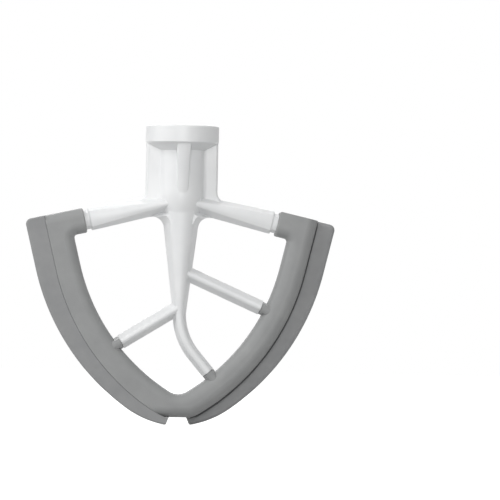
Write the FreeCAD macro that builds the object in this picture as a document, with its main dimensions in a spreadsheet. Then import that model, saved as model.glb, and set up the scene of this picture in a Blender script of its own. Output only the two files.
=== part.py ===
import FreeCAD, Part
import math
import os
import Sketcher

# Flexible-edge flat beater for a stand mixer.
# The origin is the centre of the shaft bore at its mouth, on top of the collar.
# +Z runs up along the shaft, the front of the beater faces -Y and its width lies along X.
# A white casting, given as its drive hub and its arms, carries a grey V-shaped frame on five
# necks. One flexible wiper lies along the front of the left limb and one along the back of the
# right limb, so that the beater looks the same after half a turn about the shaft, apart from
# its lower arms and tail.

SIZES = [
    # Drive hub of the casting
    ("shaft_diameter", 12.7),
    ("shaft_clearance", 0.05),
    ("bore_depth", 30.0),
    ("bore_chamfer", 0.5),
    ("pin_diameter", 4.0),
    ("pin_clearance", 0.3),
    ("pin_depth", 5.0),
    ("pin_turn", 40.0),
    ("collar_radius", 17.5),
    ("collar_thickness", 8.35),
    ("collar_edge_radius", 0.8),
    ("collar_foot_chamfer", 0.5),
    ("collar_cone_drop", 3.4),
    ("barrel_radius", 10.7),
    ("barrel_foot_radius", 22.0),
    ("fin_reach", 17.2),
    ("fin_thickness", 5.0),
    ("fin_edge_radius", 1.2),
    ("fin_root_radius", 2.0),
    ("fin_root_spread", 12.0),
    ("fin_foot_radius", 4.5),
    ("fin_toe_reach", 5.2),
    ("rib_half_width", 3.5),
    ("rib_inset", 0.2),
    ("rib_foot_half_width", 2.5),
    ("rib_foot_reach", 9.9),
    ("rib_crown", 0.6),
    ("rib_edge_radius", 1.0),
    ("hub_drop", 31.0),
    # Arms of the casting
    ("arm_drop", 35.6),
    ("arm_slope", 12.7),
    ("arm_root_half_height", 4.2),
    ("arm_end_half_height", 5.5),
    ("arm_root_half_depth", 8.0),
    ("arm_end_half_depth", 4.4),
    ("arm_draft", 25.0),
    ("arm_crown", 0.6),
    ("lower_arm_draft", 29.0),
    ("nose_radius", 1.0),
    ("neck_crown", 0.6),
    ("crotch_radius", 5.5),
    ("crotch_half_depth", 6.6),
    ("upper_end_radius", 0.8),
    ("upper_neck_half_height", 4.6),
    ("upper_neck_half_depth", 3.9),
    ("upper_neck_gap", 2.2),
    ("upper_neck_insert", 8.0),
    ("lower_right_drop", 69.05),
    ("lower_right_slope", 23.9),
    ("lower_left_drop", 86.65),
    ("lower_left_slope", 31.7),
    ("lower_arm_half_height", 3.5),
    ("lower_arm_half_depth", 4.8),
    ("lower_neck_half_height", 2.0),
    ("lower_neck_half_depth", 2.6),
    ("lower_neck_insert", 4.5),
    # Spine and its curled tail
    ("spine_top_drop", 45.55),
    ("spine_top_half_width", 8.6),
    ("spine_top_half_depth", 8.4),
    ("spine_foot_drop", 89.55),
    ("spine_foot_half_width", 3.2),
    ("spine_foot_half_depth", 4.8),
    ("spine_crown", 2.4),
    ("spine_draft", 25.0),
    ("tail_radius", 31.0),
    ("tail_turn", 40.0),
    # Grey frame
    ("frame_drop", 128.3),
    ("frame_heel_radius", 8.6),
    ("frame_heel_turn", 31.7),
    ("frame_side_radius", 97.0),
    ("frame_side_turn", 44.8),
    ("frame_width", 12.0),
    ("frame_depth", 13.0),
    ("heel_flat_cut", 0.85),
    ("cuff_length", 6.6),
    ("cuff_top_radius", 4.5),
    ("cuff_end_radius", 0.8),
    ("window_corner_radius", 1.5),
    ("inner_edge_radius", 5.0),
    ("outer_edge_radius", 5.0),
    ("lug_half_height", 3.1),
    ("lug_half_depth", 5.9),
    ("lug_draft", 12.0),
    ("lug_length", 1.8),
    ("lug_root", 4.0),
    ("lug_gap", 0.2),
    ("neck_clearance", 0.1),
    # Flexible wipers
    ("wiper_thickness", 3.6),
    ("wiper_recess", 0.3),
    ("wiper_tip_gap", 4.5),
    ("wiper_tip_reach", 6.0),
    ("wiper_tip_drop", 3.6),
    ("wiper_tip_heading", 9.2),
    ("wiper_heel_radius", 45.3),
    ("wiper_heel_turn", 26.2),
    ("wiper_side_extra", 3.4),
    ("wiper_corner_radius", 2.7),
    ("wiper_tip_radius", 0.9),
    ("wiper_inner_edge_radius", 1.5),
    ("wiper_face_edge_radius", 0.8),
    ("wiper_seam_radius", 0.3),
    ("tongue_thickness", 1.6),
    ("tongue_depth", 2.4),
    ("tongue_end_margin", 2.0),
    ("tongue_clearance", 0.05),
]

# How far one volume of a piece reaches into the next, and how far a cut runs past the surface
OVERLAP = 2.0
# Closest that two spots count as one
TOUCH = 1e-3


document = FreeCAD.newDocument("flat_beater")
sheet = document.addObject("Spreadsheet::Sheet", "sizes")
for row, (alias, value) in enumerate(SIZES, start=1):
    sheet.set("A%d" % row, alias)
    sheet.set("B%d" % row, str(value))
    sheet.setAlias("B%d" % row, alias)
document.recompute()


def size(alias):
    return float(sheet.get(alias))


# Plane geometry, with x across the beater and y for its height


def point(x, y):
    return FreeCAD.Vector(x, y, 0)


def outward(heading):
    """Unit vector to the right of a path that climbs at the given heading."""
    return point(math.sin(heading), -math.cos(heading))


def forward(heading):
    return point(math.cos(heading), math.sin(heading))


def crossing(start, direction, other, other_direction):
    """Where two straight lines cross."""
    across = direction.x * other_direction.y - direction.y * other_direction.x
    gap = other - start
    along = (gap.x * other_direction.y - gap.y * other_direction.x) / across
    return start + direction * along


def line(start, end):
    return Part.LineSegment(start, end)


def arc(centre, radius, start_heading, end_heading):
    """Arc whose outward side faces from one heading to the next."""
    circle = Part.Circle(centre, FreeCAD.Vector(0, 0, 1), radius)
    quarter = math.pi / 2
    return Part.ArcOfCircle(circle, start_heading - quarter, end_heading - quarter)


def corner_arc(before, corner, after, radius):
    """Arc that rounds a corner, with the two points where it starts and ends."""
    back = (before - corner).normalize()
    ahead = (after - corner).normalize()
    half = back.getAngle(ahead) / 2
    reach = radius / math.tan(half)
    middle = (back + ahead).normalize()
    centre = corner + middle * (radius / math.sin(half))
    start = corner + back * reach
    end = corner + ahead * reach
    return start, Part.ArcOfCircle(start, centre - middle * radius, end), end


def rectangle(left, right, low, high):
    corners = [point(left, low), point(right, low), point(right, high), point(left, high)]
    return [line(start, end) for start, end in zip(corners, corners[1:] + corners[:1])]


def mirrored(edges):
    """The same edges on the other side of the centre line, in reverse order."""
    result = []
    for edge in reversed(edges):
        copy = edge.copy()
        copy.mirror(FreeCAD.Vector(0, 0, 0), FreeCAD.Vector(0, 1, 0))
        result.append(copy)
    return result


# Sketches and features


def origin_feature(body, role):
    for feature in body.Origin.OriginFeatures:
        if feature.Role == role:
            return feature
    raise ValueError(role)


def add_sketch(body, name, loops, role="XZ_Plane", offset=None):
    """Sketch on one of the body's own planes, each loop closed end to end."""
    sketch = body.newObject("Sketcher::SketchObject", name)
    sketch.AttachmentSupport = [(origin_feature(body, role), "")]
    sketch.MapMode = "FlatFace"
    if offset:
        sketch.AttachmentOffset = offset
    for edges in loops:
        sketch.addGeometry(edges)
    return sketch


def add_pad(body, name, sketch, length, midplane=True):
    pad = body.newObject("PartDesign::Pad", name)
    pad.Profile = sketch
    pad.Midplane = midplane
    pad.setExpression("Length", length)
    sketch.Visibility = False
    return pad


def add_pocket(body, name, sketch, length, midplane=False, upward=False):
    before = solid_volume(body)
    pocket = body.newObject("PartDesign::Pocket", name)
    pocket.Profile = sketch
    pocket.Midplane = midplane
    pocket.Reversed = upward
    pocket.setExpression("Length", length)
    check_cut(body, name, before)
    return pocket


def solid_volume(body):
    document.recompute()
    return body.Tip.Shape.Volume


def check_cut(body, name, before):
    if solid_volume(body) > before - TOUCH:
        raise RuntimeError(name + " cuts nothing")


def add_loft(body, name, sections, kind="PartDesign::AdditiveLoft"):
    loft = body.newObject(kind, name)
    loft.Profile = sections[0]
    loft.Sections = sections[1:]
    loft.Ruled = True
    return loft


def round_edges(body, name, groups, radius):
    """Round the edges of the body's last feature that lie on outlines at given depths."""
    document.recompute()
    base = body.Tip
    names = []
    for outline, depth in groups:
        names += edges_on(base.Shape, outline, depth)
    return add_fillet(body, name, base, names, radius)


def add_fillet(body, name, base, edge_names, radius):
    fillet = body.newObject("PartDesign::Fillet", name)
    fillet.Base = (base, edge_names)
    fillet.setExpression("Radius", radius)
    return fillet


def edges_on(shape, outline, depth):
    """Names of the edges that lie on the outline at the given depth."""
    names = []
    for index, edge in enumerate(shape.Edges, start=1):
        here = edge.valueAt((edge.FirstParameter + edge.LastParameter) / 2)
        if abs(here.y - depth) > TOUCH:
            continue
        spot = Part.Vertex(point(here.x, here.z))
        if any(edge_line.toShape().distToShape(spot)[0] < TOUCH for edge_line in outline):
            names.append("Edge%d" % index)
    return names


def finish(body, label):
    body.Label = label
    body.Placement = FreeCAD.Placement()
    return body


# Lines that the casting, the frame and the wipers share

heel_turn = math.radians(size("frame_heel_turn"))
side_turn = math.radians(size("frame_side_turn"))
limb_heading = heel_turn + side_turn
heel_centre = point(0, size("frame_heel_radius") - size("frame_drop"))
side_centre = heel_centre + outward(heel_turn) * (size("frame_heel_radius") - size("frame_side_radius"))
limb_direction = forward(limb_heading)
frame_width = size("frame_width")

arm_slope = math.radians(size("arm_slope"))
arm_root = point(0, -size("arm_drop"))
arm_direction = forward(-arm_slope)
arm_up = -outward(-arm_slope)


def limb_foot(offset):
    """Where the straight stretch of a limb line starts, offset outward from the inner edge."""
    return side_centre + outward(limb_heading) * (size("frame_side_radius") + offset)


def limb_arcs(offset, from_heading=0.0):
    """Arcs of a limb line from the heel up to its straight stretch."""
    heel = arc(heel_centre, size("frame_heel_radius") + offset, from_heading, heel_turn)
    side = arc(side_centre, size("frame_side_radius") + offset, heel_turn, limb_heading)
    return [heel, side]


def reach_to_frame(start, direction):
    """Distance along a ray from the casting to the inner edge of the frame."""
    ray_start = point(start.x, start.y)
    ray = point(abs(direction.x), direction.y)
    hits = []
    for centre, radius, low, high in (
        (heel_centre, size("frame_heel_radius"), 0.0, heel_turn),
        (side_centre, size("frame_side_radius"), heel_turn, limb_heading),
    ):
        gap = ray_start - centre
        half = gap.dot(ray)
        inside = half * half - gap.dot(gap) + radius * radius
        if inside > 0:
            distance = -half + math.sqrt(inside)
            hit = ray_start + ray * distance - centre
            heading = math.atan2(hit.x, -hit.y)
            if low <= heading <= high:
                hits.append(distance)
    if not hits:
        foot = limb_foot(0)
        hits.append((crossing(ray_start, ray, foot, limb_direction) - ray_start).Length)
    return min(hits)


half_cuff = arm_up * (frame_width / 2)
cuff_inner_corner = crossing(arm_root - half_cuff, arm_direction, limb_foot(0), limb_direction)
cuff_face = (cuff_inner_corner - arm_root).dot(arm_direction) - size("cuff_length")
arm_length = cuff_face - size("upper_neck_gap")

tail_turn = math.radians(size("tail_turn"))
spine_foot = point(0, -size("spine_foot_drop"))
tail_centre = spine_foot + point(size("tail_radius"), 0)
tail_start = tail_centre + point(-math.cos(tail_turn), -math.sin(tail_turn)) * size("tail_radius")

UPPER_ARMS = [("right", arm_direction), ("left", point(-arm_direction.x, arm_direction.y))]

# Each lower arm as name, start and direction; the tail ends as an arm does
LOWER_ARMS = [
    ("right", point(0, -size("lower_right_drop")), forward(-math.radians(size("lower_right_slope")))),
    ("left", point(0, -size("lower_left_drop")), forward(math.radians(size("lower_left_slope")) - math.pi)),
    ("tail", tail_start, forward(tail_turn - math.pi / 2)),
]


def section_offset(start, direction, distance):
    """Sketch placement square across an arm, its first axis towards the back."""
    base = start + direction * distance
    along = FreeCAD.Vector(direction.x, 0, direction.y)
    back = FreeCAD.Vector(0, 1, 0)
    turn = FreeCAD.Rotation(back, along.cross(back), along, "ZYX")
    return FreeCAD.Placement(FreeCAD.Vector(base.x, 0, base.y), turn)


def cast_section(half_height, half_depth, crown, draft):
    """Drafted section with round noses at the parting line and a crowned front and back."""
    draft = math.radians(draft)
    nose = size("nose_radius")
    shoulder = half_depth - crown
    peak = half_height + nose * (1 / math.cos(draft) - 1)
    touch = point(nose * math.sin(draft), half_height - nose + nose * math.cos(draft))
    edge = point(shoulder, peak - shoulder * math.tan(draft))
    edges = []
    for side in (1, -1):
        edges.append(line(touch * side, edge * side))
        low_edge = point(edge.x, -edge.y) * side
        low_touch = point(touch.x, -touch.y) * side
        edges.append(Part.ArcOfCircle(edge * side, point(side * half_depth, 0), low_edge))
        edges.append(line(low_edge, low_touch))
        edges.append(Part.ArcOfCircle(low_touch, point(0, -side * half_height), touch * -side))
    return edges


def neck_section(arm, clearance):
    """Section of a neck, or of its socket where a clearance is given."""
    half_height = size(arm + "_neck_half_height") + clearance
    half_depth = size(arm + "_neck_half_depth") + clearance
    return half_height, half_depth, size("neck_crown"), size("arm_draft")


def add_member(body, name, start, direction, stations, kind="PartDesign::AdditiveLoft"):
    """Straight limb through stations, each a distance and the section there."""
    sections = []
    for index, (distance, section) in enumerate(stations):
        offset = section_offset(start, direction, distance)
        sketch_name = "%s_section_%d" % (name, index)
        sections.append(add_sketch(body, sketch_name, [cast_section(*section)], "XY_Plane", offset))
    return add_loft(body, name, sections, kind)


def round_end(body, name, start, direction, distance, radius):
    """Round the edges of the end face that a straight limb has at a distance from its start."""
    document.recompute()
    base = body.Tip
    names = []
    for index, edge in enumerate(base.Shape.Edges, start=1):
        spots = [edge.valueAt(edge.FirstParameter), edge.valueAt(edge.LastParameter)]
        spots.append(edge.valueAt((edge.FirstParameter + edge.LastParameter) / 2))
        reaches = [(point(spot.x, spot.z) - start).dot(direction) for spot in spots]
        if max(abs(reach - distance) for reach in reaches) < TOUCH:
            names.append("Edge%d" % index)
    return add_fillet(body, name, base, names, radius)


# Cast aluminium beater: hub, fins, ribs, arms, spine and necks. It is one casting, given as two
# solids that meet in a level plane under the bore, so that the bored part stays a simple one.


def hub_profile():
    """Half section of the collar, its cone, the barrel and the cone that runs into the spine."""
    collar = size("collar_radius")
    foot = -size("collar_thickness")
    chamfer = size("collar_foot_chamfer")
    rim_start, rim, rim_end = corner_arc(
        point(0, 0), point(collar, 0), point(collar, foot), size("collar_edge_radius")
    )
    barrel_top = point(size("barrel_radius"), foot - size("collar_cone_drop"))
    barrel_low = point(size("barrel_radius"), -size("arm_drop"))
    core = size("spine_top_half_width") - size("spine_crown") / 2
    core_end = point(core, -size("spine_top_drop"))
    low_start, low_bend, low_end = corner_arc(barrel_top, barrel_low, core_end, size("barrel_foot_radius"))
    upper = [rim_end, point(collar, foot + chamfer), point(collar - chamfer, foot), barrel_top, low_start]
    lower = [low_end, core_end, point(0, core_end.y), point(0, 0), rim_start]
    lines = [line(start, end) for path in (upper, lower) for start, end in zip(path, path[1:])]
    return [rim, low_bend] + lines


def fin_plate_outline():
    """Both fins as one plate whose feet flare out onto the upper arms."""
    top = -size("collar_thickness") / 2
    reach = size("fin_reach")
    arm_top = arm_root + arm_up * size("arm_root_half_height")
    foot = crossing(point(reach, top), point(0, -1), arm_top, arm_direction)
    toe = foot + arm_direction * size("fin_toe_reach")
    sink = toe - arm_up * size("arm_root_half_height")
    start, bend, end = corner_arc(point(reach, top), foot, toe, size("fin_foot_radius"))
    right = [line(point(reach, top), start), bend, line(end, toe), line(toe, sink), line(sink, arm_root)]
    return right + mirrored(right) + [line(point(-reach, top), point(reach, top))]


def flipped(edges):
    """The same edges on the other side of the sketch's first axis, in reverse order."""
    result = []
    for edge in reversed(edges):
        copy = edge.copy()
        copy.mirror(FreeCAD.Vector(0, 0, 0), FreeCAD.Vector(1, 0, 0))
        result.append(copy)
    return result


def root_section():
    """Cross section of a slab inside the barrel whose sides are rounded into the fins."""
    barrel = size("barrel_radius")
    root = size("fin_root_radius")
    half = size("fin_thickness") / 2
    bend = point(math.sqrt((barrel + root) ** 2 - (half + root) ** 2), half + root)
    on_barrel = bend * (barrel / (barrel + root))
    on_fin = point(bend.x, half)
    hollow = (on_barrel + on_fin - bend * 2).normalize()
    heading = math.atan2(bend.y, bend.x) + math.pi / 2
    patch = arc(point(0, 0), barrel, heading, heading + math.radians(size("fin_root_spread")))
    quarter = [
        line(point(0, patch.EndPoint.y), patch.EndPoint),
        patch,
        Part.ArcOfCircle(on_barrel, bend + hollow * root, on_fin),
        line(on_fin, point(bend.x, 0)),
    ]
    right = quarter + flipped(quarter)
    return right + mirrored(right)


def rib_section(half_width, reach):
    """Front and back rib as one bar with crowned ends."""
    shoulder = reach - size("rib_crown")
    edges = []
    for side in (1, -1):
        near = point(side * half_width, -side * shoulder)
        far = point(side * half_width, side * shoulder)
        edges.append(line(near, far))
        crown_end = point(-side * half_width, side * shoulder)
        edges.append(Part.ArcOfCircle(far, point(0, side * reach), crown_end))
    return edges


def level(height):
    return FreeCAD.Placement(FreeCAD.Vector(0, 0, height), FreeCAD.Rotation())


def spine_station(drop):
    """Half width and half depth of the spine, which tapers evenly."""
    share = (drop - size("spine_top_drop")) / (size("spine_foot_drop") - size("spine_top_drop"))
    width = size("spine_top_half_width") * (1 - share) + size("spine_foot_half_width") * share
    depth = size("spine_top_half_depth") * (1 - share) + size("spine_foot_half_depth") * share
    return width, depth, size("spine_crown"), size("spine_draft")


def crotch_outline():
    """Web under the upper arms with a round corner on each side of the spine."""
    arm_low = arm_root - arm_up * size("arm_root_half_height")
    tip_low = arm_root + arm_direction * arm_length - arm_up * size("arm_end_half_height")
    spine_side = point(size("spine_top_half_width"), -size("spine_top_drop"))
    spine_low = point(size("spine_foot_half_width"), -size("spine_foot_drop"))
    corner = crossing(arm_low, tip_low - arm_low, spine_side, spine_low - spine_side)
    start, bend, end = corner_arc(tip_low, corner, spine_low, size("crotch_radius"))
    right = [line(arm_root, start), bend, line(end, point(0, end.y - size("crotch_radius")))]
    return right + mirrored(right)


def add_fins(body):
    sketch = add_sketch(body, "fin_outline", [fin_plate_outline()])
    add_pad(body, "fin_plate", sketch, "sizes.fin_thickness")
    seen = []
    for edge in fin_plate_outline():
        if min(abs(edge.StartPoint.x), abs(edge.EndPoint.x)) > size("barrel_radius"):
            seen.append(edge)
    half = size("fin_thickness") / 2
    round_edges(body, "fin_edges", [(seen, -half), (seen, half)], "sizes.fin_edge_radius")


def round_ribs(body):
    """Round the upright edges that the ribs show outside the barrel."""
    document.recompute()
    base = body.Tip
    names = []
    for index, edge in enumerate(base.Shape.Edges, start=1):
        middle = edge.valueAt((edge.FirstParameter + edge.LastParameter) / 2)
        inside = size("rib_foot_half_width") < abs(middle.x) < size("rib_half_width")
        if inside and abs(middle.y) > size("barrel_radius") and edge.Length > size("barrel_radius"):
            names.append("Edge%d" % index)
    add_fillet(body, "rib_rounding", base, names, "sizes.rib_edge_radius")


def add_hub(body):
    hub = body.newObject("PartDesign::Revolution", "hub")
    hub.Profile = add_sketch(body, "hub_profile", [hub_profile()])
    hub.ReferenceAxis = (origin_feature(body, "Z_Axis"), [""])
    hub.Angle = 360
    roots = add_sketch(body, "fin_root_section", [root_section()], "XY_Plane", level(-size("arm_drop")))
    add_pad(body, "fin_roots", roots, "sizes.arm_drop - sizes.collar_thickness / 2", midplane=False)
    head = rib_section(size("rib_half_width"), size("collar_radius") - size("rib_inset"))
    foot = rib_section(size("rib_foot_half_width"), size("rib_foot_reach"))
    ribs = [
        add_sketch(body, "rib_head", [head], "XY_Plane", level(-size("collar_thickness") / 2)),
        add_sketch(body, "rib_foot", [foot], "XY_Plane", level(-size("arm_drop"))),
    ]
    add_loft(body, "ribs", ribs)
    round_ribs(body)


def add_upper_arms(body):
    web_outline = add_sketch(body, "crotch_outline", [crotch_outline()])
    web = add_pad(body, "crotch_web", web_outline, "2 * sizes.crotch_half_depth")
    web.setExpression("TaperAngle", "-sizes.arm_draft")
    root = (size("arm_root_half_height"), size("arm_root_half_depth"), size("arm_crown"), size("arm_draft"))
    end = (size("arm_end_half_height"), size("arm_end_half_depth"), size("arm_crown"), size("arm_draft"))
    tip = cuff_face + size("upper_neck_insert")
    for name, direction in UPPER_ARMS:
        add_member(body, "upper_%s_arm" % name, arm_root, direction, [(0, root), (arm_length, end)])
        round_end(body, "upper_%s_end" % name, arm_root, direction, arm_length, "sizes.upper_end_radius")
        neck = neck_section("upper", 0)
        stations = [(arm_length - OVERLAP, neck), (tip, neck)]
        add_member(body, "upper_%s_neck" % name, arm_root, direction, stations)


def add_spine(body):
    """Tapered spine whose tail curls to the side and ends as the lower arms do."""
    drops = (size("arm_drop"), size("spine_foot_drop"))
    add_member(body, "spine", point(0, 0), point(0, -1), [(drop, spine_station(drop)) for drop in drops])
    section = cast_section(*spine_station(size("spine_foot_drop")))
    offset = section_offset(point(0, 0), point(0, -1), size("spine_foot_drop"))
    quarter = math.pi / 2
    tail = body.newObject("PartDesign::AdditivePipe", "tail_bend")
    tail.Profile = add_sketch(body, "tail_section", [section], "XY_Plane", offset)
    path = arc(tail_centre, size("tail_radius"), -quarter, tail_turn - quarter)
    tail.Spine = (add_sketch(body, "tail_path", [[path]]), ["Edge1"])


def add_lower_arms(body):
    arm = (
        size("lower_arm_half_height"),
        size("lower_arm_half_depth"),
        size("arm_crown"),
        size("lower_arm_draft"),
    )
    neck = neck_section("lower", 0)
    for name, start, direction in LOWER_ARMS:
        section = spine_station(size("spine_foot_drop")) if name == "tail" else arm
        length = reach_to_frame(start, direction) - size("lug_length") - size("lug_gap")
        tip = length + size("lug_gap") + size("lower_neck_insert")
        add_member(body, "lower_%s_arm" % name, start, direction, [(0, section), (length, section)])
        stations = [(length - OVERLAP, neck), (tip, neck)]
        add_member(body, "lower_%s_neck" % name, start, direction, stations)


def add_bore(body):
    """Running bore for the drive shaft, chamfered at its mouth."""
    radius = size("shaft_diameter") / 2 + size("shaft_clearance")
    sketch = add_sketch(body, "bore_circle", [], "XY_Plane")
    sketch.addGeometry(Part.Circle(point(0, 0), FreeCAD.Vector(0, 0, 1), radius))
    sketch.addConstraint(Sketcher.Constraint("Coincident", 0, 3, -1, 1))
    sketch.addConstraint(Sketcher.Constraint("Radius", 0, radius))
    sketch.setExpression("Constraints[1]", "sizes.shaft_diameter / 2 + sizes.shaft_clearance")
    bore = add_pocket(body, "shaft_bore", sketch, "sizes.bore_depth")
    mouth = []
    for index, edge in enumerate(bore.Shape.Edges, start=1):
        circle = edge.Curve
        if isinstance(circle, Part.Circle) and abs(circle.Radius - radius) < TOUCH:
            if abs(circle.Center.z) < TOUCH:
                mouth.append("Edge%d" % index)
    chamfer = body.newObject("PartDesign::Chamfer", "bore_mouth")
    chamfer.Base = (bore, mouth)
    chamfer.setExpression("Size", "sizes.bore_chamfer")


def add_pin_slot(body):
    """Slot at the back for the drive pin: down through the collar, then a turn to the side."""
    half = size("pin_diameter") / 2 + size("pin_clearance")
    outer = size("collar_radius") + OVERLAP
    entry = add_sketch(body, "pin_entry", [rectangle(-half, half, 0, outer)], "XY_Plane")
    add_pocket(body, "pin_entry_slot", entry, "sizes.pin_depth")

    # Ring sector about the shaft, then a round seat along the pin at each end of its turn
    inner = size("shaft_diameter") / 2 - OVERLAP
    low = -size("pin_depth") - half
    high = -size("pin_depth") + half
    sector = add_sketch(body, "pin_turn_section", [rectangle(inner, outer, low, high)], "YZ_Plane")
    before = solid_volume(body)
    groove = body.newObject("PartDesign::Groove", "pin_turn_slot")
    groove.Profile = sector
    groove.ReferenceAxis = (origin_feature(body, "Z_Axis"), [""])
    groove.setExpression("Angle", "sizes.pin_turn")
    groove.Reversed = True
    check_cut(body, "pin_turn_slot", before)
    for name, heading in (("start", 0.0), ("end", -size("pin_turn"))):
        turn = FreeCAD.Placement(FreeCAD.Vector(), FreeCAD.Rotation(FreeCAD.Vector(0, 1, 0), heading))
        sketch = add_sketch(body, "pin_%s" % name, [], "XZ_Plane", turn)
        sketch.addGeometry(Part.Circle(point(0, -size("pin_depth")), FreeCAD.Vector(0, 0, 1), half))
        add_pocket(body, "pin_%s_seat" % name, sketch, "sizes.collar_radius * 2")


def part_at_plane(body, keep_top):
    """Take away what lies on the other side of the level plane between hub and arms."""
    half = size("fin_reach") * 2
    offset = level(-size("hub_drop"))
    cut = add_sketch(body, "hub_plane", [rectangle(-half, half, -half, half)], "XY_Plane", offset)
    add_pocket(body, "hub_cut", cut, "sizes.spine_top_drop", upward=not keep_top)


def build_hub():
    body = document.addObject("PartDesign::Body", "hub_body")
    add_fins(body)
    add_hub(body)
    part_at_plane(body, keep_top=True)
    add_bore(body)
    add_pin_slot(body)
    return finish(body, "drive_hub")


def build_arms():
    body = document.addObject("PartDesign::Body", "arms_body")
    add_fins(body)
    add_hub(body)
    part_at_plane(body, keep_top=False)
    add_upper_arms(body)
    add_spine(body)
    add_lower_arms(body)
    return finish(body, "beater_arms")


# Grey moulded frame: two cuffs, two curved limbs and the heel between them


def limb_top(offset):
    """Where a limb line meets the top line of the cuff."""
    return crossing(arm_root + half_cuff, arm_direction, limb_foot(offset), limb_direction)


def heel_flat_heading():
    """Heading at which the heel's outer arc runs into its flat underside."""
    radius = size("frame_heel_radius") + frame_width
    return math.acos((radius - size("heel_flat_cut")) / radius)


def cuff_corners():
    """Lower and upper corner of the cuff's end face."""
    face = arm_root + arm_direction * cuff_face
    return face - half_cuff, face + half_cuff


def inner_edges():
    """Right half of the window edge, from the heel to the end of the cuff."""
    face_low = cuff_corners()[0]
    corner = corner_arc(limb_foot(0), cuff_inner_corner, face_low, size("window_corner_radius"))
    return limb_arcs(0) + [line(limb_foot(0), corner[0]), corner[1], line(corner[2], face_low)]


def outer_edges():
    """Right half of the outside, from the heel's flat up to the top line."""
    heading = heel_flat_heading()
    return limb_arcs(frame_width, heading) + [line(limb_foot(frame_width), limb_top(frame_width))]


def top_edge():
    return line(limb_top(frame_width), cuff_corners()[1])


def flat_edge():
    corner = heel_centre + outward(heel_flat_heading()) * (size("frame_heel_radius") + frame_width)
    return line(point(-corner.x, corner.y), corner)


def frame_loop():
    face_low, face_high = cuff_corners()
    right = outer_edges() + [top_edge(), line(face_high, face_low)] + list(reversed(inner_edges()))
    return right + mirrored(right) + [flat_edge()]


def round_frame(body):
    """Soft edges: each limb is round towards the window and towards the side without a wiper."""
    front = -size("frame_depth") / 2
    rear = -front
    window = inner_edges() + mirrored(inner_edges())
    round_edges(body, "window_rounding", [(window, front), (window, rear)], "sizes.inner_edge_radius")
    tops = [(mirrored([top_edge()]), front), ([top_edge()], rear)]
    round_edges(body, "cuff_top_rounding", tops, "sizes.cuff_top_radius")
    backs = [(outer_edges() + [flat_edge()], front), (mirrored(outer_edges()) + [flat_edge()], rear)]
    round_edges(body, "limb_back_rounding", backs, "sizes.outer_edge_radius")


def round_cuff_ends(body):
    for name, direction in UPPER_ARMS:
        round_end(body, name + "_cuff_end", arm_root, direction, cuff_face, "sizes.cuff_end_radius")


def add_lugs(body):
    """Lugs that meet the lower arms, each with the socket of its neck."""
    lug = (size("lug_half_height"), size("lug_half_depth"), size("arm_crown"), size("lug_draft"))
    clearance = size("neck_clearance")
    socket = neck_section("lower", clearance)
    for name, start, direction in LOWER_ARMS:
        edge = reach_to_frame(start, direction)
        face = edge - size("lug_length")
        add_member(body, name + "_lug", start, direction, [(face, lug), (edge + size("lug_root"), lug)])
        stations = [(face - OVERLAP, socket), (face + size("lower_neck_insert") + clearance, socket)]
        add_member(body, name + "_lug_socket", start, direction, stations, "PartDesign::SubtractiveLoft")


def add_cuff_sockets(body):
    clearance = size("neck_clearance")
    socket = neck_section("upper", clearance)
    stations = [(cuff_face - OVERLAP, socket), (cuff_face + size("upper_neck_insert") + clearance, socket)]
    for name, direction in UPPER_ARMS:
        add_member(body, name + "_cuff_socket", arm_root, direction, stations, "PartDesign::SubtractiveLoft")


def add_grooves(body):
    """Grooves that hold the tongues of the wipers."""
    width = "sizes.tongue_thickness + 2 * sizes.tongue_clearance"
    for label, side in WIPERS:
        outline = on_side(tongue_outline(size("tongue_clearance")), side)
        sketch = add_sketch(body, label + "_groove_outline", [outline], "XZ_Plane", wiper_plane(side))
        add_pocket(body, label + "_groove", sketch, width, midplane=True)


def build_frame():
    body = document.addObject("PartDesign::Body", "frame_body")
    add_pad(body, "limbs", add_sketch(body, "limb_outline", [frame_loop()]), "sizes.frame_depth")
    round_frame(body)
    round_cuff_ends(body)
    add_lugs(body)
    add_cuff_sockets(body)
    add_grooves(body)
    return finish(body, "edge_frame")


# Flexible wipers, one along each limb: the left one in front, the right one at the back

WIPERS = [("front_wiper", -1), ("rear_wiper", 1)]


def on_side(edges, side):
    return edges if side > 0 else mirrored(edges)


def wiper_depth(side):
    return side * (size("frame_depth") / 2 - size("wiper_recess") - size("wiper_thickness") / 2)


def wiper_plane(side):
    return FreeCAD.Placement(FreeCAD.Vector(0, 0, -wiper_depth(side)), FreeCAD.Rotation())


def tongue_outline(clearance):
    """Strip along the limb that holds the wiper, from inside the limb to inside the wiper."""
    deep = frame_width - size("tongue_depth") - clearance
    shallow = frame_width + size("tongue_depth") / 2
    margin = size("tongue_end_margin") - clearance
    radius = size("frame_side_radius")
    start = heel_turn + margin / radius
    inner = arc(side_centre, radius + deep, start, limb_heading)
    outer = arc(side_centre, radius + shallow, start, limb_heading)
    top = limb_top(frame_width) - limb_direction * margin
    inner_top = crossing(top, outward(limb_heading), limb_foot(deep), limb_direction)
    outer_top = crossing(top, outward(limb_heading), limb_foot(shallow), limb_direction)
    return [
        inner,
        line(limb_foot(deep), inner_top),
        line(inner_top, outer_top),
        line(outer_top, limb_foot(shallow)),
        outer,
        line(outer.StartPoint, inner.StartPoint),
    ]


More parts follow.
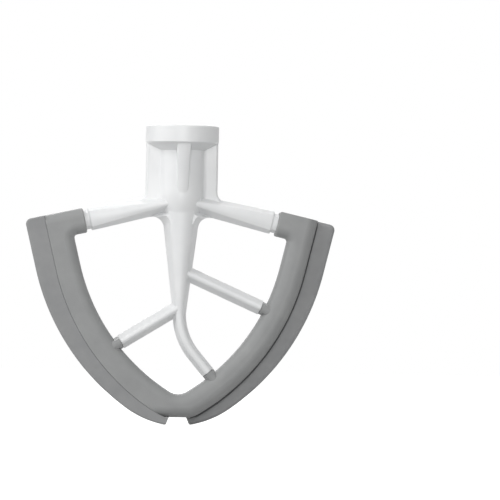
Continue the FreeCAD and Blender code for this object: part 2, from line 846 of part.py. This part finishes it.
def wiper_free_edges():
    """Right wiper's slanted end, heel arc, side arc, straight edge and top."""
    flat_end = flat_edge().EndPoint
    tip_top = point(size("wiper_tip_gap"), flat_end.y)
    tip_low = point(size("wiper_tip_reach"), flat_end.y - size("wiper_tip_drop"))
    heading = math.radians(size("wiper_tip_heading"))
    turned = heading + math.radians(size("wiper_heel_turn"))
    heel_radius = size("wiper_heel_radius")
    side_radius = size("frame_side_radius") + frame_width + size("wiper_side_extra")
    low_centre = tip_low - outward(heading) * heel_radius
    high_centre = low_centre + outward(turned) * (heel_radius - side_radius)
    foot = high_centre + outward(limb_heading) * side_radius
    top_corner = crossing(limb_top(frame_width), arm_direction, foot, limb_direction)
    return [
        line(tip_top, tip_low),
        arc(low_centre, heel_radius, heading, turned),
        arc(high_centre, side_radius, turned, limb_heading),
        line(foot, top_corner),
        line(top_corner, limb_top(frame_width)),
    ]


def tip_waste(end_line, heel):
    """What a round cutter takes off the tip, between the slanted end and the heel arc."""
    radius = size("wiper_tip_radius")
    tip = end_line.EndPoint
    down = (tip - end_line.StartPoint).normalize()
    inward = point(-down.y, down.x)
    gap = tip + inward * radius - heel.Center
    along = gap.dot(down)
    rise = along - math.sqrt(along * along - gap.dot(gap) + (heel.Radius - radius) ** 2)
    centre = tip + inward * radius - down * rise
    away = (centre - heel.Center).normalize()
    on_end = centre - inward * radius
    on_heel = centre + away * radius
    far = tip + (down - inward) * radius
    return [
        Part.ArcOfCircle(on_heel, centre + (away - inward).normalize() * radius, on_end),
        line(on_end, on_end - inward * radius),
        line(on_end - inward * radius, far),
        line(far, on_heel + away * radius),
        line(on_heel + away * radius, on_heel),
    ]


def corner_edges(shape, corner, side):
    """Names of the edges that run through the thickness at a corner of the outline."""
    names = []
    for index, edge in enumerate(shape.Edges, start=1):
        here = edge.valueAt((edge.FirstParameter + edge.LastParameter) / 2)
        if abs(here.x - side * corner.x) < TOUCH and abs(here.z - corner.y) < TOUCH:
            names.append("Edge%d" % index)
    return names


def build_wiper(label, side):
    """Blade with soft free edges and a tongue along its limb."""
    body = document.addObject("PartDesign::Body", label + "_body")
    plane = wiper_plane(side)
    free = wiper_free_edges()
    held = list(reversed(outer_edges())) + [line(flat_edge().EndPoint, free[0].StartPoint)]
    outline = add_sketch(body, "blade_outline", [on_side(free + held, side)], "XZ_Plane", plane)
    blade = add_pad(body, "blade", outline, "sizes.wiper_thickness")
    document.recompute()
    top = corner_edges(blade.Shape, free[3].EndPoint, side)
    add_fillet(body, "top_corner", blade, top, "sizes.wiper_corner_radius")

    face = wiper_depth(side) + side * size("wiper_thickness") / 2
    inside = wiper_depth(side) - side * size("wiper_thickness") / 2
    sweep = on_side(free[1:3], side)
    round_edges(body, "inner_rounding", [(sweep, inside)], "sizes.wiper_inner_edge_radius")
    round_edges(body, "face_rounding", [(sweep, face)], "sizes.wiper_face_edge_radius")
    seam = on_side(outer_edges()[1:], side)
    round_edges(body, "seam_rounding", [(seam, face)], "sizes.wiper_seam_radius")
    waste = add_sketch(body, "tip_waste", [on_side(tip_waste(*free[:2]), side)], "XZ_Plane", plane)
    add_pocket(body, "tip_rounding", waste, "2 * sizes.wiper_thickness", midplane=True)
    tongue = add_sketch(body, "tongue_outline", [on_side(tongue_outline(0), side)], "XZ_Plane", plane)
    add_pad(body, "tongue", tongue, "sizes.tongue_thickness")
    return finish(body, label)


def check_document():
    """Stop on any failed object, or on a piece that isn't one sound solid."""
    document.recompute()
    for item in document.Objects:
        if "Invalid" in item.State or "Error" in item.State:
            raise RuntimeError("%s failed: %s" % (item.Label, item.State))
    for piece in pieces:
        if piece.Shape.isNull() or not piece.Shape.isValid() or len(piece.Shape.Solids) != 1:
            raise RuntimeError(piece.Label + " is not one sound solid")


pieces = [build_hub(), build_arms(), build_frame()]
pieces += [build_wiper(label, side) for label, side in WIPERS]
check_document()
os.makedirs("parts", exist_ok=True)
for piece in pieces:
    piece.Shape.exportStep("parts/%s.step" % piece.Label)
    print("%s: %.1f cubic millimetres" % (piece.Label, piece.Shape.Volume))
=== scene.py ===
import bpy, math
import numpy as np
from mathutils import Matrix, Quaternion, Vector


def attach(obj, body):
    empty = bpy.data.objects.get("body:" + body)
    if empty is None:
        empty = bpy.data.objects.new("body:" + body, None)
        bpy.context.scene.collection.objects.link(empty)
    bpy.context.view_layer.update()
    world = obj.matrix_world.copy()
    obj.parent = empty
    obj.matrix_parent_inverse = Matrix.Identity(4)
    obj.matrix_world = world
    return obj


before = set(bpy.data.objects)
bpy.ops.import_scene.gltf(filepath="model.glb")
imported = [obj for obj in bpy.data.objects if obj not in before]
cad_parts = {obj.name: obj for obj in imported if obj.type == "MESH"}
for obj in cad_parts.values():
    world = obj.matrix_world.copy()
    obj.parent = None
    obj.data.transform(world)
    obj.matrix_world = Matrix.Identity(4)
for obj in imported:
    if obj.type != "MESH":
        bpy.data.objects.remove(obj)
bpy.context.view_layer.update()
scene = bpy.context.scene
print("frame loaded:", ", ".join(sorted(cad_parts)))

# Camera
cameraSetup = {
    "aimPoint": (0.0, 0.0, -0.072),     # middle of the beater
    "azimuth": -3.5,                    # degrees, a little to the left of straight ahead
    "elevation": -0.6,                  # degrees, eye level below the middle of the beater
    "roll": -1.05,                      # degrees
    "distance": 2.4,
    "pixelsPerMetre": 2088.1,           # at the aim point
    "imageSize": 500,
    "aimPixel": (179.95, 276.4),        # where the aim point lands in the image
    "sensor": 36.0,                     # millimetres
    "clip": (0.05, 20.0),               # metres
}


def placeCamera(setup):
    # looks at the aim point, rolls, then turns so that the aim point lands on its pixel
    az, el = math.radians(setup["azimuth"]), math.radians(setup["elevation"])
    back = Vector((math.sin(az) * math.cos(el), -math.cos(az) * math.cos(el), math.sin(el)))
    focal = setup["pixelsPerMetre"] * setup["distance"]          # in pixels
    half = setup["imageSize"] / 2
    ray = Vector(((setup["aimPixel"][0] - half) / focal, (half - setup["aimPixel"][1]) / focal, -1))
    turn = ray.rotation_difference(Vector((0, 0, -1)))
    data = bpy.data.cameras.new("photoCamera")
    data.sensor_width = setup["sensor"]
    data.lens = focal * setup["sensor"] / setup["imageSize"]
    data.clip_start, data.clip_end = setup["clip"]
    cam = bpy.data.objects.new("photoCamera", data)
    cam.rotation_mode = "QUATERNION"
    cam.location = Vector(setup["aimPoint"]) + back * setup["distance"]
    look = (-back).to_track_quat("-Z", "Y")
    cam.rotation_quaternion = look @ Quaternion((0, 0, 1), math.radians(-setup["roll"])) @ turn
    scene.collection.objects.link(cam)
    scene.camera = cam


placeCamera(cameraSetup)
print("camera placed")

# Room and light
roomSetup = {
    "floorDrop": -0.1431,               # just under the wiper tips
    "floorSize": 6.0,
    "floorColour": (0.50, 0.50, 0.50, 1),
    "floorLift": (0.84, 1.0),           # light for camera and reflections alone, near the beater and far off
    "liftReach": (0.10, 0.60),          # metres from the shaft's axis
    "ambient": 0.205,                   # light from all round; camera and reflections see white
}
lampSetup = [
    # name, place, size, watts, colour; all face the middle of the beater
    ("keyLamp", (-0.86, -0.50, 0.76), 0.60, 6.3, (1.0, 1.0, 1.0)),
    ("sideLamp", (-1.25, -0.11, 0.26), 1.10, 4.1, (1.0, 1.0, 1.0)),
    ("frontLamp", (-0.09, -1.28, 0.15), 0.60, 5.35, (1.0, 0.997, 0.99)),
    ("rightLamp", (0.50, -0.86, 0.76), 0.60, 2.1, (1.0, 0.997, 0.99)),
    ("topLamp", (0.00, -0.05, 1.23), 0.60, 2.1, (1.0, 1.0, 1.0)),
    ("backLamp", (0.00, 1.15, 0.55), 0.80, 6.2, (1.0, 1.0, 1.0)),
]


def nodeTree(material):
    material.use_nodes = True
    tree = material.node_tree
    tree.nodes.clear()
    return tree, tree.nodes.new("ShaderNodeOutputMaterial")


def spread(tree, value, low, high, toLow, toHigh):
    # maps low to toLow and high to toHigh in a straight line, and holds both ends
    node = tree.nodes.new("ShaderNodeMapRange")
    node.inputs["From Min"].default_value, node.inputs["From Max"].default_value = low, high
    node.inputs["To Min"].default_value, node.inputs["To Max"].default_value = toLow, toHigh
    tree.links.new(value, node.inputs["Value"])
    return node.outputs[0]


def seenRays(tree):
    # 1 where the camera, a reflection or a clear body sees the surface, 0 where it only gives light
    paths = tree.nodes.new("ShaderNodeLightPath")
    seen = paths.outputs["Is Camera Ray"]
    for kind in ("Is Glossy Ray", "Is Transmission Ray"):
        most = tree.nodes.new("ShaderNodeMath")
        most.operation = "MAXIMUM"
        tree.links.new(seen, most.inputs[0])
        tree.links.new(paths.outputs[kind], most.inputs[1])
        seen = most.outputs[0]
    return seen


def buildRoom(setup):
    material = bpy.data.materials.new("studioFloor")
    tree, out = nodeTree(material)
    paper = tree.nodes.new("ShaderNodeBsdfDiffuse")
    paper.inputs["Color"].default_value = setup["floorColour"]
    lift = tree.nodes.new("ShaderNodeEmission")
    coords = tree.nodes.new("ShaderNodeTexCoord")
    away = tree.nodes.new("ShaderNodeVectorMath")
    away.operation = "LENGTH"
    tree.links.new(coords.outputs["Object"], away.inputs[0])
    level = spread(tree, away.outputs["Value"], *setup["liftReach"], *setup["floorLift"])
    scale = tree.nodes.new("ShaderNodeMath")
    scale.operation = "MULTIPLY"
    both = tree.nodes.new("ShaderNodeAddShader")
    tree.links.new(seenRays(tree), scale.inputs[0])
    tree.links.new(level, scale.inputs[1])
    tree.links.new(scale.outputs[0], lift.inputs["Strength"])
    tree.links.new(paper.outputs[0], both.inputs[0])
    tree.links.new(lift.outputs[0], both.inputs[1])
    tree.links.new(both.outputs[0], out.inputs["Surface"])

    half = setup["floorSize"] / 2
    corners = [(-half, -half), (half, -half), (half, half), (-half, half)]
    mesh = bpy.data.meshes.new("studioFloor")
    mesh.from_pydata([(x, y, setup["floorDrop"]) for x, y in corners], [], [(0, 1, 2, 3)])
    mesh.materials.append(material)
    floor = bpy.data.objects.new("studioFloor", mesh)
    scene.collection.objects.link(floor)

    world = bpy.data.worlds.new("studioWorld")
    scene.world = world
    world.use_nodes = True
    tree = world.node_tree
    tree.nodes.clear()
    out = tree.nodes.new("ShaderNodeOutputWorld")
    sky = tree.nodes.new("ShaderNodeBackground")
    sky.inputs["Color"].default_value = (1, 1, 1, 1)
    level = spread(tree, seenRays(tree), 0, 1, setup["ambient"], 1)
    tree.links.new(level, sky.inputs["Strength"])
    tree.links.new(sky.outputs[0], out.inputs["Surface"])


def placeLamps(lamps, aim):
    for name, place, size, watts, colour in lamps:
        data = bpy.data.lights.new(name, "AREA")
        data.shape, data.size, data.energy, data.color = "DISK", size, watts, colour
        lamp = bpy.data.objects.new(name, data)
        lamp.location = place
        lamp.rotation_mode = "QUATERNION"
        lamp.rotation_quaternion = (Vector(aim) - Vector(place)).to_track_quat("-Z", "Y")
        scene.collection.objects.link(lamp)


buildRoom(roomSetup)
placeLamps(lampSetup, cameraSetup["aimPoint"])
scene.view_settings.view_transform = "Standard"
print("room lit")

# Finishes
coatingLook = {
    "colour": (0.80, 0.808, 0.812),     # cool white
    "shade": (0.765, 0.775, 0.782),     # where the coat lies thinner
    "patchScale": 55.0,
    "roughness": (0.36, 0.46),
    "coat": (0.15, 0.30),               # weight and roughness of the clear top coat
    "peelScale": 900.0,                 # soft orange peel, a bit over 1 mm from wave to wave
    "peelDepth": 0.000012,
    "grainScale": 7000.0,
    "grainDepth": 0.0000018,
}
frameLook = {
    "colour": (0.285, 0.290, 0.290),
    "shade": (0.263, 0.268, 0.269),
    "patchScale": 70.0,
    "roughness": (0.50, 0.62),
    "peelScale": 2600.0,                # matt spark-eroded tool texture
    "peelDepth": 0.000010,
    "grainScale": 9000.0,
    "grainDepth": 0.000004,
}
wiperLook = {
    "colour": (0.272, 0.275, 0.278),
    "shade": (0.251, 0.255, 0.259),
    "patchScale": 90.0,
    "roughness": (0.56, 0.70),
    "peelScale": 1500.0,
    "peelDepth": 0.000006,
    "grainScale": 8000.0,
    "grainDepth": 0.000003,
}
noiseSetup = {
    "patchEdges": (0.35, 0.60),         # noise values between which one colour turns into the other
    "patchDetail": (4, 0.55),           # octaves, and how much each adds
    "wanderRatio": 3.1,                 # roughness drifts this much finer than the colour patches
    "wanderEdges": (0.3, 0.7),
    "wanderDetail": (3, 0.5),
    "bumpDetail": (2, 0.5),
}


def noise(tree, coords, scale, detail, rough):
    node = tree.nodes.new("ShaderNodeTexNoise")
    node.inputs["Scale"].default_value = scale
    node.inputs["Detail"].default_value = detail
    node.inputs["Roughness"].default_value = rough
    tree.links.new(coords.outputs["Object"], node.inputs["Vector"])
    return node.outputs["Fac"]


def bump(tree, height, depth, before=None):
    node = tree.nodes.new("ShaderNodeBump")
    node.inputs["Distance"].default_value = depth
    tree.links.new(height, node.inputs["Height"])
    if before:
        tree.links.new(before, node.inputs["Normal"])
    return node.outputs["Normal"]


def makeFinish(name, look, setup):
    # two close colours in soft patches, roughness that drifts, a soft wave and a fine grain on top
    material = bpy.data.materials.new(name)
    tree, out = nodeTree(material)
    shader = tree.nodes.new("ShaderNodeBsdfPrincipled")
    coords = tree.nodes.new("ShaderNodeTexCoord")
    patches = noise(tree, coords, look["patchScale"], *setup["patchDetail"])
    mix = tree.nodes.new("ShaderNodeMix")
    mix.data_type = "RGBA"
    mix.inputs["A"].default_value = (*look["shade"], 1)
    mix.inputs["B"].default_value = (*look["colour"], 1)
    tree.links.new(spread(tree, patches, *setup["patchEdges"], 0, 1), mix.inputs["Factor"])
    tree.links.new(mix.outputs["Result"], shader.inputs["Base Color"])
    wander = noise(tree, coords, look["patchScale"] * setup["wanderRatio"], *setup["wanderDetail"])
    drift = spread(tree, wander, *setup["wanderEdges"], *look["roughness"])
    tree.links.new(drift, shader.inputs["Roughness"])
    peel = noise(tree, coords, look["peelScale"], *setup["bumpDetail"])
    wave = bump(tree, peel, look["peelDepth"])
    fine = noise(tree, coords, look["grainScale"], *setup["bumpDetail"])
    grain = bump(tree, fine, look["grainDepth"], wave)
    tree.links.new(grain, shader.inputs["Normal"])
    if "coat" in look:
        coatWeight, coatRoughness = look["coat"]
        shader.inputs["Coat Weight"].default_value = coatWeight
        shader.inputs["Coat Roughness"].default_value = coatRoughness
    tree.links.new(shader.outputs[0], out.inputs["Surface"])
    return material


def dress(node, material):
    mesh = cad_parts[node].data
    mesh.materials.clear()
    mesh.materials.append(material)


coating = makeFinish("whiteCoating", coatingLook, noiseSetup)
for node in ("drive_hub", "beater_arms"):
    dress(node, coating)
dress("edge_frame", makeFinish("greyMoulding", frameLook, noiseSetup))
wiperFinish = makeFinish("greyRubber", wiperLook, noiseSetup)
for node in ("front_wiper", "rear_wiper"):
    dress(node, wiperFinish)
print("finishes made")

# Painted shade: a thin near-black strip in the corner between each limb and the inner face of its wiper,
# standing in for the shade that falls in that crevice
creviceShadeSetup = {
    "heelCentre": (0.0, -0.1197),       # x and z
    "heelRadius": 0.0206,
    "heelTurn": (-73.49, -58.30),       # degrees from the x axis, from the tip end on
    "sideCentre": (-0.046452, -0.044488),
    "sideRadius": 0.109,
    "sideTurn": (-58.30, -13.50),
    "topCorner": (0.065701, -0.044256),
    "stations": (12, 90, 30),           # along the heel, the side and the straight run
    "roundSteps": 9,                    # points on the quarter ellipse
    "wiperFace": 0.0026,                # inner face of the wiper, from the middle plane
    "outward": 0.0010,                  # along the wiper's face
    "upward": 0.0011,                   # along the limb's side
    "sunk": 0.0002,                     # into the wiper and the limb, so that no gap shows
    "taper": 0.05,                      # share of the length at each end over which it runs out
    "tipShare": 0.005,                  # share of the taper left at each end, so the tip stays closed
}
creviceShadeLook = {
    # painted shade: near-black colour for the strip that stands in for the crevice's shade
    "colour": (0.052, 0.053, 0.054),
    "shade": (0.040, 0.041, 0.042),
    "patchScale": 120.0,
    "roughness": (0.60, 0.72),
    "peelScale": 2400.0,
    "peelDepth": 0.000005,
    "grainScale": 9000.0,
    "grainDepth": 0.000003,
}


def creviceShadePath(setup):
    # points and outward directions: two arcs about their centres, then the straight run to the top
    heelCount, sideCount, topCount = setup["stations"]
    points, outs = [], []
    for centre, radius, turn, count in (
        (setup["heelCentre"], setup["heelRadius"], setup["heelTurn"], heelCount),
        (setup["sideCentre"], setup["sideRadius"], setup["sideTurn"], sideCount),
    ):
        angle = np.radians(np.linspace(*turn, count))
        out = np.stack([np.cos(angle), np.sin(angle)], axis=1)
        points.append(np.array(centre) + radius * out)
        outs.append(out)
    along = np.linspace(0, 1, topCount)[1:, None]
    foot = points[1][-1]
    points.append(foot + along * (np.array(setup["topCorner"]) - foot))
    outs.append(np.repeat(outs[1][-1:], len(along), axis=0))
    points[1], outs[1] = points[1][1:], outs[1][1:]          # the arcs share one point
    return np.concatenate(points), np.concatenate(outs)


# builds the painted shade strip, a dark sliver laid where the limb's side falls into shade against the wiper
def makePaintedCreviceShade(name, side, setup, material):
    # quarter ellipse about the corner, carried along the path: out from the corner by outward * cos(v) and
    # off the wiper's face by upward * sin(v), both times sqrt(1 - (1 - u / taper)^2) near an end, u being
    # the share of the length from that end; the back edge is sunk into the solids
    points, outs = creviceShadePath(setup)
    step = np.linalg.norm(np.diff(points, axis=0), axis=1)
    u = np.concatenate([[0], np.cumsum(step)]) / step.sum()
    near = np.clip(np.minimum(u, 1 - u) / setup["taper"], setup["tipShare"], 1)
    size = np.sqrt(1 - (1 - near) ** 2)[:, None]
    v = np.linspace(0, np.pi / 2, setup["roundSteps"])[None, :]
    back = np.full((len(u), 1), -setup["sunk"])
    across = np.concatenate([size * setup["outward"] * np.cos(v), back], axis=1)
    above = np.concatenate([size * setup["upward"] * np.sin(v), back], axis=1)
    x = side * (points[:, :1] + outs[:, :1] * across)
    z = points[:, 1:] + outs[:, 1:] * across
    y = side * (setup["wiperFace"] - above)
    grid = np.stack([x, y, z], axis=2)
    rows, columns = grid.shape[:2]
    here = np.arange(rows * columns).reshape(rows, columns)
    beside = np.roll(here, -1, axis=1)
    quads = np.stack([here[:-1], here[1:], beside[1:], beside[:-1]], axis=2).reshape(-1, 4)
    ends = [here[0].tolist(), here[-1][::-1].tolist()]
    mesh = bpy.data.meshes.new(name)
    mesh.from_pydata(grid.reshape(-1, 3).tolist(), [], quads.tolist() + ends)
    mesh.materials.append(material)
    mesh.polygons.foreach_set("use_smooth", np.ones(len(mesh.polygons), dtype=bool))
    mesh.update()
    shadeStrip = bpy.data.objects.new(name, mesh)
    scene.collection.objects.link(shadeStrip)
    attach(shadeStrip, "root")


# painted shade in the crevice on both sides, not a real part of the beater
creviceShadeFinish = makeFinish("paintedCreviceShade", creviceShadeLook, noiseSetup)
makePaintedCreviceShade("rearWiperCreviceShade", 1, creviceShadeSetup, creviceShadeFinish)
makePaintedCreviceShade("frontWiperCreviceShade", -1, creviceShadeSetup, creviceShadeFinish)
print("painted crevice shade made")
